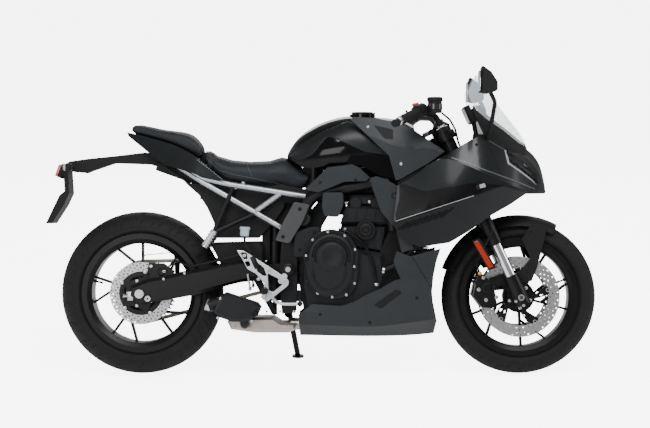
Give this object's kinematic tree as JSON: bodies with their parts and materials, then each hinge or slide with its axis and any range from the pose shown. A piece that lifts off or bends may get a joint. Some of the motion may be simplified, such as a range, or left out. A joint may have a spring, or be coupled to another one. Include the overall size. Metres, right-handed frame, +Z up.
{
  "type": "sport bike",
  "caption": "Faired sport motorcycle leaning on its side stand, with turning wheels, steering, folding stand and hinged fuel cap.",
  "frame": {"origin": "middle of the whole bike's box, on the floor", "axes": "+X forward, +Y left, +Z up; the bike leans to +Y on its side stand"},
  "size_m": [2.134, 0.7998, 1.2238],
  "materials": {
    "alloy": "brushed",
    "axle_steel": "turned",
    "black_alloy": "satin black",
    "chrome": "polished",
    "clear_screen": "clear",
    "cowl_grey": "satin metallic",
    "engine_grey": "satin cast",
    "exhaust_dark": "satin",
    "exhaust_steel": "heat tinted",
    "fairing_black": "gloss",
    "frame_black": "satin",
    "gloss_black": "gloss metallic black",
    "lamp_lens": "clear",
    "radiator_black": "matt",
    "red_lens": "clear",
    "rubber": "matt",
    "seat_cover": "grained vinyl",
    "silver_paint": "satin silver",
    "steel": "machined",
    "trim_black": "fine grain",
    "tyre": "matt"
  },
  "bodies": {
    "frame": {"airbox": "trim_black", "belly_cowl": "cowl_grey", "chain": "steel", "chain_guard": "trim_black", "crankcase": "engine_grey", "cylinder_head": "engine_grey", "dash": "trim_black", "engine_covers": "engine_grey", "exhaust_headers": "exhaust_steel", "fairing_left": "fairing_black", "fairing_right": "fairing_black", "fairing_stay": "frame_black", "footrests": "alloy", "frame": "frame_black", "front_sprocket": "steel", "fuel_tank": "gloss_black", "headlights": "lamp_lens", "mirrors": "trim_black", "nose_cowl": "fairing_black", "pillion_footrests": "frame_black", "pillion_seat": "seat_cover", "radiator": "radiator_black", "rear_axle": "axle_steel", "rear_brake": "black_alloy", "rear_brake_hose": "rubber", "rear_fender": "trim_black", "rear_lights": "red_lens", "rear_shock": "frame_black", "rider_seat": "seat_cover", "screen_base": "trim_black", "side_covers": "cowl_grey", "silencer": "exhaust_dark", "subframe": "silver_paint", "swingarm": "black_alloy", "tail_cowl": "fairing_black", "tank_shrouds": "cowl_grey", "undertail": "trim_black", "windscreen": "clear_screen"},
    "steering": {"fork_clamps": "black_alloy", "fork_outers": "black_alloy", "fork_inners": "chrome", "fork_feet": "black_alloy", "front_axle": "axle_steel", "handlebars": "frame_black", "grips": "rubber", "controls": "trim_black", "front_fender": "trim_black", "front_calipers": "black_alloy", "front_brake_hoses": "rubber"},
    "front_wheel": {"front_rim": "black_alloy", "front_tyre": "tyre", "front_discs": "steel"},
    "rear_wheel": {"rear_rim": "black_alloy", "rear_tyre": "tyre", "rear_disc": "steel", "rear_sprocket": "steel"},
    "fuel_cap": {"fuel_cap": "frame_black"},
    "side_stand": {"side_stand": "frame_black"}
  },
  "joints": [
    {"name": "steering_turn", "type": "hinge", "parent": "frame", "child": "steering", "pos_m": [0.52435, -0.05056, 0.73495], "axis": [-0.4223, 0.1574, 0.8927], "range_deg": [-28, 28]},
    {"name": "front_wheel_spin", "type": "hinge", "parent": "steering", "child": "front_wheel", "pos_m": [0.7671, -0.12765, 0.29767], "axis": [-0.0001, 0.9848, -0.1736], "continuous": true},
    {"name": "rear_wheel_spin", "type": "hinge", "parent": "frame", "child": "rear_wheel", "pos_m": [-0.6979, -0.12504, 0.31288], "axis": [-0.0001, 0.9848, -0.1736], "continuous": true},
    {"name": "side_stand_fold", "type": "hinge", "parent": "frame", "child": "side_stand", "pos_m": [-0.13097, -0.02082, 0.22429], "axis": [0.0212, 0.9065, 0.4216], "range_deg": [0, 86.77]},
    {"name": "fuel_cap_lid", "type": "hinge", "parent": "frame", "child": "fuel_cap", "pos_m": [0.20534, -0.00388, 0.99979], "axis": [-0.0001, 0.9848, -0.1736], "range_deg": [0, 85]}
  ]
}
